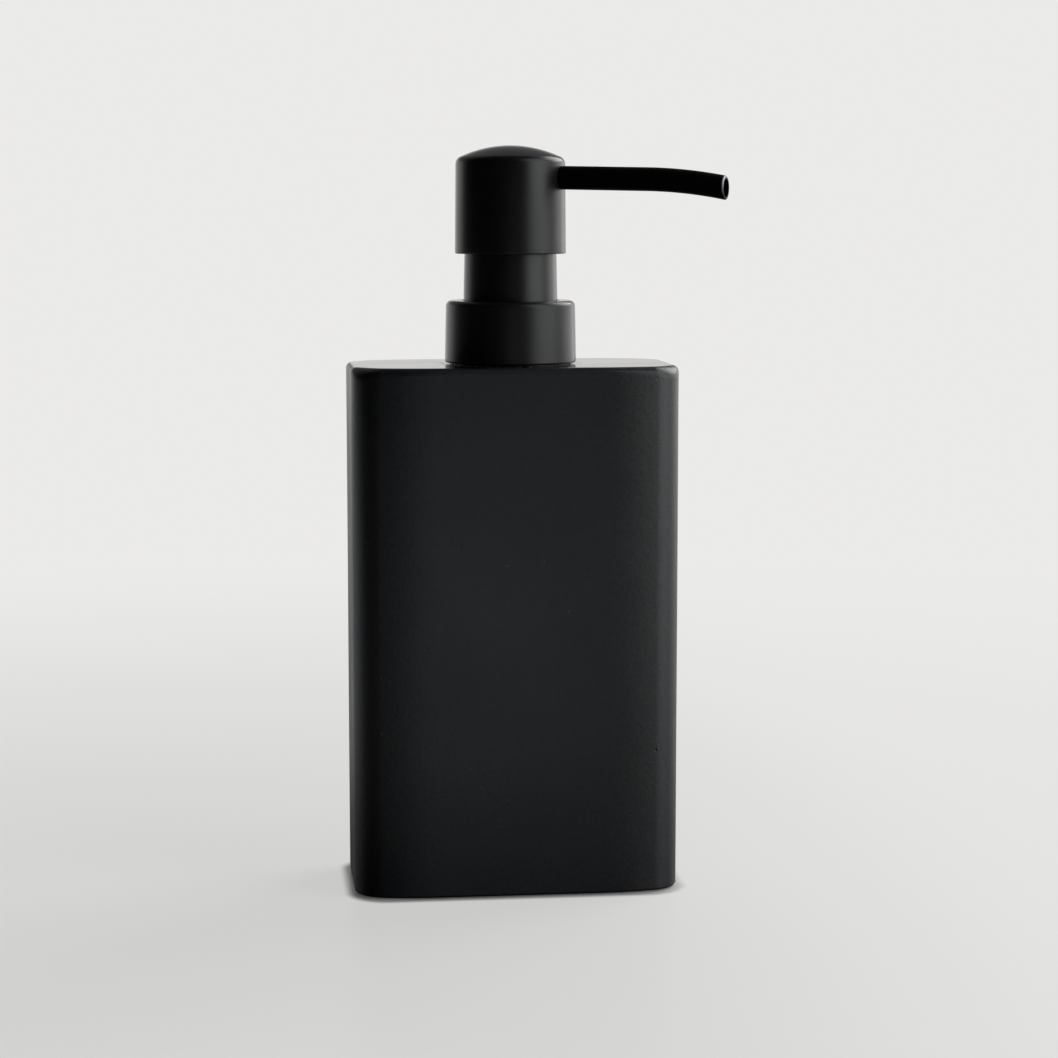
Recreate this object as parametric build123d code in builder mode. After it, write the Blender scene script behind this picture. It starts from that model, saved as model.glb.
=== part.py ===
from build123d import *
import math
import os

# Soap pump dispenser: a hollow cast bottle with a screw-on pump whose head presses, turns and springs back.
# Millimetres. The origin is on the surface that the bottle stands on, below the pump's axis.
# +Z is up, +X runs along the bottle's width and -Y is the front.

# Bottle
body_width = 80.0
body_depth = 42.0
body_height = 129.5
face_ease = 20.0
face_turn_radius = 64.0
corner_radius = 8.2
top_edge_radius = 1.5
base_edge_radius = 0.6
wall = 4.5
roof = 5.0
cavity_edge_radius = 2.0
plate_thickness = 4.0
plate_ledge = 1.5
plate_gap = 0.1
pad_thickness = 1.2
pad_proud = 0.3
pad_gap = 0.4

# Pump cylinder, from the stem outwards
stem_radius = 3.6
stem_bore = 1.8
shoulder_step = 1.4
shoulder_thickness = 2.0
shoulder_clearance = 1.0
cylinder_wall = 1.1
cylinder_length = 32.0
cup_step = 2.5
cup_wall = 1.1
cup_clearance = 0.9
cup_floor_gap = 0.4
guide_depth = 11.5
guide_wall = 1.3
guide_skirt_wall = 1.2
guide_flange_thickness = 1.2
flange_thickness = 1.4
flange_clearance = 0.5
gasket_thickness = 1.2
gasket_inset = 0.2

# Neck and its thread, six turns to the inch
neck_wall = 2.1
neck_lead_in = 0.7
neck_lead_out = 1.0
neck_edge = 0.5
insert_step = 0.8
insert_flange = 0.9
insert_flange_thickness = 0.5
glue_gap = 0.1
thread_pitch = 4.233
thread_depth = 1.1
thread_crest = 1.0
thread_flank = 30.0
thread_gap = 0.4
thread_sink = 0.3
neck_thread_turns = 1.5
nut_thread_turns = 1.0

# Collar
collar_gap = 0.3
collar_wall = 0.85
collar_plate = 1.0
collar_draft = 1.2
collar_edge_radius = 1.4
collar_rim_radius = 0.9
collar_lip = 1.6
nut_wall = 0.9
nut_web = 1.0
nut_recess = 0.8
nut_lead_in = 0.4
turn_gap = 0.4
bearing_gap = 0.1
press_gap = 0.05
run_gap = 0.08

# Sleeve and head
sleeve_wall = 1.1
sleeve_draft = 1.2
sleeve_show = 11.4
sleeve_cover = 2.0
sleeve_lid = 1.2
lid_gap = 0.5
press_stop_gap = 0.9
head_gap = 0.8
head_wall = 1.25
head_draft = 0.5
head_rim_radius = 0.3
dome_radius = 29.0
shoulder_radius = 2.0
core_gap = 0.6
core_disc = 2.0
core_disc_gap = 0.7
core_dome_gap = 0.3
core_reach = 6.5
core_wall = 1.25
core_hub_inset = 3.35
stem_end_gap = 0.1

# Spout
spout_radius = 2.85
spout_bore = 2.2
spout_cover = 1.5
spout_root = 3.0
spout_web = 0.75
spout_straight = 35.0
spout_reach = 54.9
spout_trim = 1.0
spout_bend_radius = 115.0
spout_slope = 1.1
spout_yaw = -27.0

# Outlet valve: the piston slips on a rod between the stem's shoulder and the valve tip
rod_step = 0.6
port_radius = 0.8
port_gap = 0.9
port_rise = 1.4
piston_height = 6.0
piston_slip = 1.0
piston_lip = 0.5
piston_skirt = 0.7
piston_web = 1.2
piston_guide = 1.6
slip_gap = 0.1
stop_gap = 0.3
tip_rim = 0.2
tip_thickness = 2.5
tip_plug = 2.0
tip_boss = 2.0
tip_boss_gap = 0.75

# Return spring
wire_radius = 0.45
spring_clearance = 1.35
spring_turns = 6
spring_seat_gap = 0.02

# Inlet valve and dip tube
cage_thickness = 1.2
cage_ports = 4
cage_port_radius = 0.9
ball_radius = 2.2
ball_lift = 1.5
ball_gap = 0.1
ball_clearance = 0.8
inlet_radius = 1.3
inlet_land = 1.0
dip_radius = 3.0
dip_bore = 2.2
dip_socket = 8.0
dip_gap = 1.5
dip_cut = 35.0
nozzle_wall = 1.2

# Radii, worked out from the stem to the collar
shoulder_outer = stem_radius + shoulder_step
cylinder_bore = shoulder_outer + shoulder_clearance
cylinder_outer = cylinder_bore + cylinder_wall
cup_bore = cylinder_bore + cup_step
cup_outer = cup_bore + cup_wall
neck_bore = cup_outer + cup_clearance
neck_radius = neck_bore + neck_wall
neck_crest = neck_radius + thread_depth
insert_foot = neck_radius + insert_step
insert_rim = insert_foot + insert_flange
nut_crest = neck_radius + thread_gap
nut_root = neck_crest + thread_gap
nut_outer = nut_root + nut_wall
collar_bore = nut_outer + press_gap
collar_top_radius = collar_bore + collar_wall
flange_radius = nut_root - flange_clearance
collar_hole = flange_radius - collar_lip
sleeve_radius = collar_hole - turn_gap
sleeve_bore = sleeve_radius - sleeve_wall
head_bore = sleeve_radius + head_gap
head_radius = head_bore + head_wall
core_radius = stem_radius + run_gap + core_wall
core_hub = head_bore - core_hub_inset
rod_radius = stem_radius - rod_step
piston_bore = rod_radius + port_gap
tip_radius = piston_bore + piston_lip + tip_rim
spring_radius = cylinder_bore - spring_clearance - wire_radius
tip_boss_radius = spring_radius - wire_radius - tip_boss_gap
ball_chamber = ball_radius + ball_clearance
dip_socket_radius = dip_radius + press_gap
nozzle_radius = max(ball_chamber, dip_socket_radius) + nozzle_wall

# Thread shape and heights up the neck
flank_spread = 2 * thread_depth * math.tan(math.radians(thread_flank))
thread_root = thread_crest + flank_spread
thread_start = body_height + insert_flange_thickness + neck_lead_in + thread_root / 2
thread_rise = neck_thread_turns * thread_pitch
neck_top = thread_start + thread_rise + thread_root / 2 + neck_lead_out

# Heights above the neck
flange_bottom = neck_top + gasket_thickness
flange_top = flange_bottom + flange_thickness
web_bottom = flange_top + bearing_gap
plate_bottom = web_bottom + nut_web
collar_top = plate_bottom + collar_plate
collar_bottom = body_height + collar_gap
collar_rim = collar_top_radius + (collar_top - collar_bottom) * math.tan(math.radians(collar_draft))
nut_bottom = collar_bottom + nut_recess
guide_top = flange_top + guide_flange_thickness
head_stroke = sleeve_show - press_stop_gap
head_rim = collar_top + sleeve_show
sleeve_top = head_rim + sleeve_cover
sleeve_top_radius = sleeve_radius - (sleeve_top - flange_top) * math.tan(math.radians(sleeve_draft))
sleeve_lid_bottom = sleeve_top - sleeve_lid
core_bottom = sleeve_top + head_stroke + core_gap
core_disc_top = core_bottom + core_disc
core_foot = core_bottom - core_reach
spout_height = core_disc_top + core_disc_gap + spout_radius
stem_socket_top = spout_height - spout_radius - spout_web
stem_top = stem_socket_top - stem_end_gap
head_shoulder = spout_height + spout_radius + spout_cover
head_shoulder_radius = head_radius - (head_shoulder - head_rim) * math.tan(math.radians(head_draft))
dome_centre = head_shoulder - math.sqrt(dome_radius**2 - head_shoulder_radius**2)

# Heights below the flange, down to the dip tube
guide_bottom = flange_top - guide_depth
cup_floor = guide_bottom - cup_floor_gap
shoulder_top = guide_bottom - stop_gap
shoulder_bottom = shoulder_top - shoulder_thickness
piston_top = shoulder_bottom - piston_slip - slip_gap
piston_bottom = piston_top - piston_height
tip_bottom = piston_bottom - tip_thickness
port_height = piston_bottom + tip_plug + port_rise
cylinder_bottom = cup_floor - cylinder_length
cage_top = cylinder_bottom + cage_thickness
ball_centre = cylinder_bottom - ball_gap - ball_lift - ball_radius
seat_top = ball_centre + ball_chamber - math.sqrt(2) * (ball_radius + ball_gap)
seat_bottom = seat_top - (ball_chamber - inlet_radius)
dip_top = seat_bottom - inlet_land
nozzle_bottom = dip_top - dip_socket

# Bottle heights and its plan: the flat front and back ease along a large arc into each corner
face_flat = body_width - 2 * face_ease
face_turn = math.asin((face_ease - corner_radius) / (face_turn_radius - corner_radius))
face_turn_middle = face_turn_radius - body_depth / 2
corner_middle_x = body_width / 2 - corner_radius
corner_middle_y = (face_turn_radius - corner_radius) * math.cos(face_turn) - face_turn_middle
plate_top = pad_thickness + plate_thickness
roof_bottom = body_height - roof
base_wall = wall - plate_ledge
dip_bottom = plate_top + dip_gap

# The nut's thread runs below the neck's by this much, with the gap that a tightened collar leaves
engaged_spread = 2 * (thread_depth - thread_gap) * math.tan(math.radians(thread_flank))
thread_offset = (thread_crest + engaged_spread + thread_crest) / 2 + thread_gap
nut_thread_start = nut_bottom + nut_lead_in + thread_root / 2
nut_thread_turned = (nut_thread_start - thread_start + thread_offset) / thread_pitch
turns_to_free = neck_thread_turns - nut_thread_turned

os.makedirs("parts", exist_ok=True)


def thread_rib(root_radius, crest_radius, start_height, turns):
    """A helical rib from a root sunk in its wall to a crest, starting on the XZ plane."""
    outward = 1 if crest_radius > root_radius else -1
    sunk_radius = root_radius - outward * thread_sink
    with BuildPart() as rib:
        with BuildLine() as path:
            Helix(thread_pitch, turns * thread_pitch, root_radius, center=(0, 0, start_height))
        with BuildSketch(Plane.XZ):
            with BuildLine():
                Polyline(
                    (sunk_radius, start_height - thread_root / 2),
                    (root_radius, start_height - thread_root / 2),
                    (crest_radius, start_height - thread_crest / 2),
                    (crest_radius, start_height + thread_crest / 2),
                    (root_radius, start_height + thread_root / 2),
                    (sunk_radius, start_height + thread_root / 2),
                    close=True,
                )
            make_face()
        sweep(path=path.line, is_frenet=True)
    return rib.part


def plan_outline(inset):
    """A sketch of the bottle's plan moved in by an inset, with every arc about its own centre."""
    turn = math.degrees(face_turn)
    half_width = body_width / 2 - inset
    half_depth = body_depth / 2 - inset
    with BuildSketch() as plan:
        with BuildLine():
            CenterArc((face_flat / 2, face_turn_middle), face_turn_radius - inset, -90, turn)
            CenterArc((corner_middle_x, -corner_middle_y), corner_radius - inset, turn - 90, 90 - turn)
            mirror(about=Plane.XZ)
            mirror(about=Plane.YZ)
            Line((-face_flat / 2, -half_depth), (face_flat / 2, -half_depth))
            Line((-face_flat / 2, half_depth), (face_flat / 2, half_depth))
            Line((half_width, -corner_middle_y), (half_width, corner_middle_y))
            Line((-half_width, -corner_middle_y), (-half_width, corner_middle_y))
        make_face()
    return plan.sketch


# The hollow casting: closed at the top but for the neck's hole, open below with a step for the base plate
with BuildPart() as bottle_shell:
    with BuildSketch(Plane.XY.offset(pad_proud)):
        add(plan_outline(0))
    extrude(amount=body_height - pad_proud)
    fillet(bottle_shell.faces().sort_by(Axis.Z)[-1].edges(), top_edge_radius)
    fillet(bottle_shell.faces().sort_by(Axis.Z)[0].edges(), base_edge_radius)
    with BuildSketch(Plane.XY.offset(plate_top)):
        add(plan_outline(wall))
    extrude(amount=roof_bottom - plate_top, mode=Mode.SUBTRACT)
    fillet(bottle_shell.faces().filter_by(Plane.XY).sort_by(Axis.Z)[-2].edges(), cavity_edge_radius)
    with BuildSketch(Plane.XY.offset(pad_proud)):
        add(plan_outline(base_wall))
    extrude(amount=plate_top - pad_proud, mode=Mode.SUBTRACT)
    with BuildSketch(Plane.XY.offset(roof_bottom)):
        Circle(insert_foot + glue_gap)
    extrude(amount=roof, mode=Mode.SUBTRACT)
bottle_shell.part.label = "bottle_shell"
export_step(bottle_shell.part, "parts/bottle_shell.step")

# Plate glued against the step inside the bottle's foot
with BuildPart() as base_plate:
    with BuildSketch(Plane.XY.offset(pad_thickness)):
        add(plan_outline(base_wall + plate_gap))
    extrude(amount=plate_thickness)
base_plate.part.label = "base_plate"
export_step(base_plate.part, "parts/base_plate.step")

# Soft pad under the plate, a little proud of the bottle's foot
with BuildPart() as base_pad:
    with BuildSketch(Plane.XY):
        add(plan_outline(base_wall + pad_gap))
    extrude(amount=pad_thickness)
base_pad.part.label = "base_pad"
export_step(base_pad.part, "parts/base_pad.step")

# Threaded neck, its foot glued in the roof's hole and its flange resting on the roof
neck_thread = thread_rib(neck_radius, neck_crest, thread_start, neck_thread_turns)
with BuildPart() as neck_insert:
    with BuildSketch(Plane.XZ):
        with BuildLine():
            Polyline(
                (neck_bore, roof_bottom),
                (insert_foot, roof_bottom),
                (insert_foot, body_height),
                (insert_rim, body_height),
                (insert_rim, body_height + insert_flange_thickness),
                (neck_radius, body_height + insert_flange_thickness),
                (neck_radius, neck_top - neck_edge),
                (neck_radius - neck_edge, neck_top),
                (neck_bore, neck_top),
                close=True,
            )
        make_face()
    revolve(axis=Axis.Z)
    add(neck_thread)
neck_insert.part.label = "neck_insert"
export_step(neck_insert.part, "parts/neck_insert.step")

# Seal between the neck's top and the pump's flange
with BuildPart() as gasket:
    with BuildSketch(Plane.XY.offset(neck_top)):
        Circle(neck_radius - gasket_inset)
        Circle(cup_outer + gasket_inset, mode=Mode.SUBTRACT)
    extrude(amount=gasket_thickness)
gasket.part.label = "gasket"
export_step(gasket.part, "parts/gasket.step")

# Pump cylinder: flange, cup for the guide, cylinder, ball chamber with a conical seat, and dip tube socket
with BuildPart() as housing:
    with BuildSketch(Plane.XZ):
        with BuildLine():
            Polyline(
                (cup_bore, flange_top),
                (flange_radius, flange_top),
                (flange_radius, flange_bottom),
                (cup_outer, flange_bottom),
                (cup_outer, cup_floor),
                (cylinder_outer, cup_floor - (cup_outer - cylinder_outer)),
                (cylinder_outer, cylinder_bottom - cylinder_wall),
                (nozzle_radius, cylinder_bottom - cylinder_wall),
                (nozzle_radius, nozzle_bottom),
                (dip_socket_radius, nozzle_bottom),
                (dip_socket_radius, dip_top),
                (inlet_radius, dip_top),
                (inlet_radius, seat_bottom),
                (ball_chamber, seat_top),
                (ball_chamber, cylinder_bottom),
                (cylinder_bore, cylinder_bottom),
                (cylinder_bore, cup_floor),
                (cup_bore, cup_floor),
                close=True,
            )
        make_face()
    revolve(axis=Axis.Z)
housing.part.label = "housing"
export_step(housing.part, "parts/housing.step")

# Guide that closes the cylinder: a flange on the housing, a skirt in its cup and a tube round the stem
with BuildPart() as stem_guide:
    guide_bore = stem_radius + run_gap
    with BuildSketch(Plane.XZ):
        with BuildLine():
            Polyline(
                (guide_bore, guide_bottom),
                (guide_bore + guide_wall, guide_bottom),
                (guide_bore + guide_wall, flange_top),
                (cup_bore - press_gap - guide_skirt_wall, flange_top),
                (cup_bore - press_gap - guide_skirt_wall, guide_bottom),
                (cup_bore - press_gap, guide_bottom),
                (cup_bore - press_gap, flange_top),
                (sleeve_bore - press_gap, flange_top),
                (sleeve_bore - press_gap, guide_top),
                (guide_bore, guide_top),
                close=True,
            )
        make_face()
    revolve(axis=Axis.Z)
stem_guide.part.label = "stem_guide"
export_step(stem_guide.part, "parts/stem_guide.step")

# Fixed sleeve that shows between the collar and the head, with a lid that the head's core passes through
with BuildPart() as neck_sleeve:
    lid_hole = core_radius + lid_gap
    lid_radius = sleeve_top_radius - sleeve_wall
    with BuildSketch(Plane.XZ):
        with BuildLine():
            Polyline(
                (sleeve_bore, flange_top),
                (sleeve_radius, flange_top),
                (sleeve_top_radius, sleeve_top),
                (lid_hole, sleeve_top),
                (lid_hole, sleeve_lid_bottom),
                (lid_radius, sleeve_lid_bottom),
                (sleeve_bore, guide_top),
                close=True,
            )
        make_face()
    revolve(axis=Axis.Z)
neck_sleeve.part.label = "neck_sleeve"
export_step(neck_sleeve.part, "parts/neck_sleeve.step")

# Outer collar, a drafted cup with a soft top edge
with BuildPart() as collar_shell:
    with BuildSketch(Plane.XZ) as collar_profile:
        with BuildLine():
            Polyline(
                (collar_bore, collar_bottom),
                (collar_rim, collar_bottom),
                (collar_top_radius, collar_top),
                (collar_hole, collar_top),
                (collar_hole, plate_bottom),
                (collar_bore, plate_bottom),
                close=True,
            )
        make_face()
        top_corner = (collar_top_radius, collar_top)
        foot_corner = (collar_rim, collar_bottom)
        fillet(collar_profile.vertices().sort_by_distance(top_corner)[0], collar_edge_radius)
        fillet(collar_profile.vertices().sort_by_distance(foot_corner)[0], collar_rim_radius)
    revolve(axis=Axis.Z)
collar_shell.part.label = "collar_shell"
export_step(collar_shell.part, "parts/collar_shell.step")

# Threaded ring pressed into the collar, its web bearing on the pump's flange
nut_thread = thread_rib(nut_root, nut_crest, nut_thread_start, nut_thread_turns)
with BuildPart() as collar_nut:
    with BuildSketch(Plane.XZ):
        with BuildLine():
            Polyline(
                (nut_root, nut_bottom),
                (nut_outer, nut_bottom),
                (nut_outer, plate_bottom),
                (collar_hole, plate_bottom),
                (collar_hole, web_bottom),
                (nut_root, web_bottom),
                close=True,
            )
        make_face()
    revolve(axis=Axis.Z)
    add(nut_thread, rotation=(0, 0, 360 * nut_thread_turned))
collar_nut.part.label = "collar_nut"
export_step(collar_nut.part, "parts/collar_nut.step")

# Hollow stem with a shoulder below the guide, and a thinner rod with cross ports for the piston
with BuildPart() as stem:
    with BuildSketch(Plane.XZ):
        with BuildLine():
            Polyline(
                (stem_bore, piston_bottom),
                (rod_radius, piston_bottom),
                (rod_radius, shoulder_bottom),
                (shoulder_outer, shoulder_bottom),
                (shoulder_outer, shoulder_top),
                (stem_radius, shoulder_top),
                (stem_radius, stem_top),
                (stem_bore, stem_top),
                close=True,
            )
        make_face()
    revolve(axis=Axis.Z)
    for port_plane in (Plane.XZ, Plane.YZ):
        with BuildSketch(port_plane):
            with Locations((0, port_height)):
                Circle(port_radius)
        extrude(amount=stem_radius, both=True, mode=Mode.SUBTRACT)
stem.part.label = "stem"
export_step(stem.part, "parts/stem.step")

# Tip plugged into the stem's lower end: the piston's seat above, the spring's boss below
with BuildPart() as valve_tip:
    with BuildSketch(Plane.XZ):
        with BuildLine():
            Polyline(
                (0, tip_bottom - tip_boss),
                (tip_boss_radius, tip_bottom - tip_boss),
                (tip_boss_radius, tip_bottom),
                (tip_radius, tip_bottom),
                (tip_radius, piston_bottom),
                (stem_bore - press_gap, piston_bottom),
                (stem_bore - press_gap, piston_bottom + tip_plug),
                (0, piston_bottom + tip_plug),
                close=True,
            )
        make_face()
    revolve(axis=Axis.Z)
valve_tip.part.label = "valve_tip"
export_step(valve_tip.part, "parts/valve_tip.step")

# Piston: a hub guided on the rod at its top, open round the ports below, and a skirt that wipes the cylinder
with BuildPart() as piston:
    piston_outer = cylinder_bore - run_gap
    piston_waist = (piston_top + piston_bottom) / 2
    with BuildSketch(Plane.XZ):
        with BuildLine():
            Polyline(
                (piston_bore, piston_bottom),
                (piston_bore + piston_lip, piston_bottom),
                (piston_bore + piston_lip, piston_waist - piston_web / 2),
                (piston_outer - piston_skirt, piston_waist - piston_web / 2),
                (piston_outer - piston_skirt, piston_bottom),
                (piston_outer, piston_bottom),
                (piston_outer, piston_top),
                (piston_outer - piston_skirt, piston_top),
                (piston_outer - piston_skirt, piston_waist + piston_web / 2),
                (piston_bore + piston_lip, piston_waist + piston_web / 2),
                (piston_bore + piston_lip, piston_top),
                (rod_radius + run_gap, piston_top),
                (rod_radius + run_gap, piston_top - piston_guide),
                (piston_bore, piston_top - piston_guide),
                close=True,
            )
        make_face()
    revolve(axis=Axis.Z)
piston.part.label = "piston"
export_step(piston.part, "parts/piston.step")

# Disc on the cylinder's floor that carries the spring and stops the ball, with ports round its middle
with BuildPart() as ball_cage:
    with BuildSketch(Plane.XY.offset(cylinder_bottom)):
        Circle(cylinder_bore - press_gap)
        with PolarLocations(ball_chamber - cage_port_radius, cage_ports):
            Circle(cage_port_radius, mode=Mode.SUBTRACT)
    extrude(amount=cage_thickness)
ball_cage.part.label = "ball_cage"
export_step(ball_cage.part, "parts/ball_cage.step")

# Inlet ball just above its conical seat
with BuildPart() as inlet_ball:
    with Locations((0, 0, ball_centre)):
        Sphere(ball_radius)
inlet_ball.part.label = "inlet_ball"
export_step(inlet_ball.part, "parts/inlet_ball.step")

# Dip tube, cut at a slant just above the base plate
with BuildPart() as dip_tube:
    with BuildSketch(Plane.XY.offset(dip_bottom)):
        Circle(dip_radius)
        Circle(dip_bore, mode=Mode.SUBTRACT)
    extrude(amount=dip_top - dip_bottom)
    slant = Plane(
        origin=(-dip_radius, 0, dip_bottom),
        z_dir=(-math.sin(math.radians(dip_cut)), 0, math.cos(math.radians(dip_cut))),
    )
    split(bisect_by=slant, keep=Keep.TOP)
dip_tube.part.label = "dip_tube"
export_step(dip_tube.part, "parts/dip_tube.step")

# Return spring from the cage to the valve tip: one wire along a helix made of a pair of arcs each quarter turn
spring_foot = cage_top + wire_radius + spring_seat_gap
spring_head = tip_bottom - wire_radius - spring_seat_gap
spring_pitch = (spring_head - spring_foot) / spring_turns


def coil_point(turn):
    """The point of the wire's middle line after so many turns."""
    angle = 2 * math.pi * turn
    height = spring_foot + spring_pitch * turn
    return Vector(spring_radius * math.cos(angle), spring_radius * math.sin(angle), height)


def coil_tangent(turn):
    """The unit direction of the wire's middle line after so many turns."""
    angle = 2 * math.pi * turn
    around = 2 * math.pi * spring_radius
    return Vector(-around * math.sin(angle), around * math.cos(angle), spring_pitch).normalized()


with BuildPart() as return_spring:
    with BuildLine() as coil:
        for quarter in range(4 * spring_turns):
            start = coil_point(quarter / 4)
            end = coil_point((quarter + 1) / 4)
            start_way = coil_tangent(quarter / 4)
            end_way = coil_tangent((quarter + 1) / 4)
            chord = end - start
            both_ways = start_way + end_way
            spare = 4 - both_ways.dot(both_ways)
            along = chord.dot(both_ways)
            reach = (math.sqrt(along**2 + spare * chord.dot(chord)) - along) / spare
            first_corner = start + start_way * reach
            second_corner = end - end_way * reach
            middle = (first_corner + second_corner) * 0.5
            TangentArc(start, middle, tangent=start_way)
            TangentArc(middle, end, tangent=second_corner - first_corner)
    with BuildSketch(Plane(origin=coil_point(0), z_dir=coil_tangent(0))):
        Circle(wire_radius)
    sweep(path=coil.line)
return_spring.part.label = "return_spring"
export_step(return_spring.part, "parts/return_spring.step")

# Least gap between the wire and itself, measured on points more than half a turn apart
coil_samples = [coil_point(step / 48) for step in range(48 * spring_turns + 1)]
coil_spacing = min(
    (coil_samples[far] - coil_samples[near]).length
    for near in range(len(coil_samples))
    for far in range(near + 24, len(coil_samples))
)
print("return_spring: least gap to itself", round(coil_spacing - 2 * wire_radius, 3), "mm")

# The spout lies in an upright plane through the pump's axis, turned to the right and a little to the front
yaw = math.radians(spout_yaw)
slope = math.radians(spout_slope)
spout_plane = Plane(
    origin=(0, 0, spout_height),
    x_dir=(math.cos(yaw), math.sin(yaw), 0),
    z_dir=(math.sin(yaw), -math.cos(yaw), 0),
)
spout_way = Vector(math.cos(yaw) * math.cos(slope), math.sin(yaw) * math.cos(slope), -math.sin(slope))
spout_start = Vector(0, 0, spout_height) + spout_way * (spout_root / math.cos(slope))
spout_run = spout_reach + spout_trim - spout_straight
spout_bend = math.asin(spout_run / spout_bend_radius + math.sin(slope)) - slope

# Domed head shell with a hole for the spout
with BuildPart() as head_shell:
    with BuildSketch(Plane.XZ) as head_profile:
        outer_angle = math.degrees(math.atan2(head_shoulder - dome_centre, head_shoulder_radius))
        inner_angle = math.degrees(math.acos(head_bore / (dome_radius - head_wall)))
        with BuildLine():
            rim_line = Line((head_bore, head_rim), (head_radius, head_rim))
            side_line = Line(rim_line @ 1, (head_shoulder_radius, head_shoulder))
            outer_dome = CenterArc((0, dome_centre), dome_radius, outer_angle, 90 - outer_angle)
            crown_line = Line(outer_dome @ 1, (0, dome_centre + dome_radius - head_wall))
            inner_dome = CenterArc((0, dome_centre), dome_radius - head_wall, inner_angle, 90 - inner_angle)
            Line(inner_dome @ 0, rim_line @ 0)
        make_face()
        shoulder_corner = (head_shoulder_radius, head_shoulder)
        fillet(head_profile.vertices().sort_by_distance(shoulder_corner)[0], shoulder_radius)
        fillet(head_profile.vertices().sort_by_distance((head_radius, head_rim))[0], head_rim_radius)
    revolve(axis=Axis.Z)
    with BuildSketch(Plane(origin=spout_start, z_dir=spout_way)):
        Circle(spout_radius + press_gap)
    extrude(amount=head_radius, mode=Mode.SUBTRACT)
head_shell.part.label = "head_shell"
export_step(head_shell.part, "parts/head_shell.step")

# Core pressed into the head: turns on the stem, holds the spout and leads the soap from one to the other
with BuildPart() as head_core:
    core_dome = dome_radius - head_wall - core_dome_gap
    hub_angle = math.degrees(math.acos(core_hub / core_dome))
    with BuildSketch(Plane.XZ):
        with BuildLine():
            hub_dome = CenterArc((0, dome_centre), core_dome, hub_angle, 90 - hub_angle)
            Polyline(
                hub_dome @ 1,
                (0, stem_socket_top),
                (stem_radius + run_gap, stem_socket_top),
                (stem_radius + run_gap, core_foot),
                (core_radius, core_foot),
                (core_radius, core_bottom),
                (head_bore - press_gap, core_bottom),
                (head_bore - press_gap, core_disc_top),
                (core_hub, core_disc_top),
                hub_dome @ 0,
            )
        make_face()
    revolve(axis=Axis.Z)
    with BuildSketch(Plane(origin=spout_start, z_dir=spout_way)):
        Circle(spout_radius + press_gap)
    extrude(amount=head_radius, mode=Mode.SUBTRACT)
    with BuildSketch(Plane(origin=spout_start, z_dir=spout_way)):
        Circle(spout_bore)
    extrude(amount=-spout_root, mode=Mode.SUBTRACT)
    with BuildSketch(Plane.XY.offset(stem_socket_top)):
        Circle(stem_bore)
    extrude(amount=spout_height - stem_socket_top, mode=Mode.SUBTRACT)
head_core.part.label = "head_core"
export_step(head_core.part, "parts/head_core.step")

# Spout: a straight tube out of the core that droops along an arc to its tip, which is cut off upright
with BuildPart() as spout_tube:
    with BuildLine(spout_plane) as spout_path:
        straight = Line(
            (spout_root, -spout_root * math.tan(slope)),
            (spout_straight, -spout_straight * math.tan(slope)),
        )
        JernArc(straight @ 1, straight % 1, spout_bend_radius, -math.degrees(spout_bend))
    with BuildSketch(Plane(origin=spout_start, z_dir=spout_way)):
        Circle(spout_radius)
        Circle(spout_bore, mode=Mode.SUBTRACT)
    sweep(path=spout_path.line)
    outward = (math.cos(yaw), math.sin(yaw), 0)
    split(bisect_by=Plane(origin=Vector(*outward) * spout_reach, z_dir=outward), keep=Keep.BOTTOM)
spout_tube.part.label = "spout_tube"
export_step(spout_tube.part, "parts/spout_tube.step")

print("head stroke", round(head_stroke, 3), "mm; collar free after", round(360 * turns_to_free, 1), "degrees")
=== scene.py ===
# %% [markdown]
# # A soap pump dispenser
# The object is a matte black cast bottle with a press pump screwed into its top: a collar, a fixed sleeve,
# a domed head that presses and turns, and a thin spout that droops at its tip. Its construction comes
# packed from CAD and stays as it is. Here the pieces that show, and the spring, get smooth meshes of the
# same size, every surface gets a finish, and a camera, a pale floor and soft light make the picture.

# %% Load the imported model
import math

import bpy
import numpy as np
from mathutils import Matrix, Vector


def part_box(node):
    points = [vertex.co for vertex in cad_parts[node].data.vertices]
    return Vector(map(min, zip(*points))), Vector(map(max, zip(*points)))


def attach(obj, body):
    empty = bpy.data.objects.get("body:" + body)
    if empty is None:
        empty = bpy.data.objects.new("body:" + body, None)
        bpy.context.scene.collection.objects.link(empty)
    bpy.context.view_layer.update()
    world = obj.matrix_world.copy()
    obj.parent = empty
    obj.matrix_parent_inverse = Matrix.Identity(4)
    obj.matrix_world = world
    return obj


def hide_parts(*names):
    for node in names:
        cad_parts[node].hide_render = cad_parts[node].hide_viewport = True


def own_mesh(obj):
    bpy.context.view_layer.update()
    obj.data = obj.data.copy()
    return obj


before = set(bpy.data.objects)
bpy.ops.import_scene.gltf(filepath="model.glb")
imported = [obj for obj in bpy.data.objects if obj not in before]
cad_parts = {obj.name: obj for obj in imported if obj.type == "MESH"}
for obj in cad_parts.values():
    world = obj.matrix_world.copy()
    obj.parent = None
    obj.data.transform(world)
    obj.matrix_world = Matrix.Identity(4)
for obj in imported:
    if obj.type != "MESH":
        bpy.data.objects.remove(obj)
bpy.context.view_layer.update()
mm = 0.001

# %% [markdown]
# ## Camera
# The picture was taken with a long lens, a little from the left and only a few centimetres above the
# bottle's top, so the top shows as a thin bright sliver. The camera could be aimed with a constraint. Plain
# numbers for its place, turn and tilt are easier to check, and they keep the frame still when a piece
# changes.

# %% Camera
camera_distance = 659.4 * mm
camera_azimuth = math.radians(-6.57)
camera_aside = 4.6 * mm
camera_height = 168.0 * mm
camera_tilt = math.radians(6.90)
camera_lens = 90.83
camera_sensor = 36.0

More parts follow.
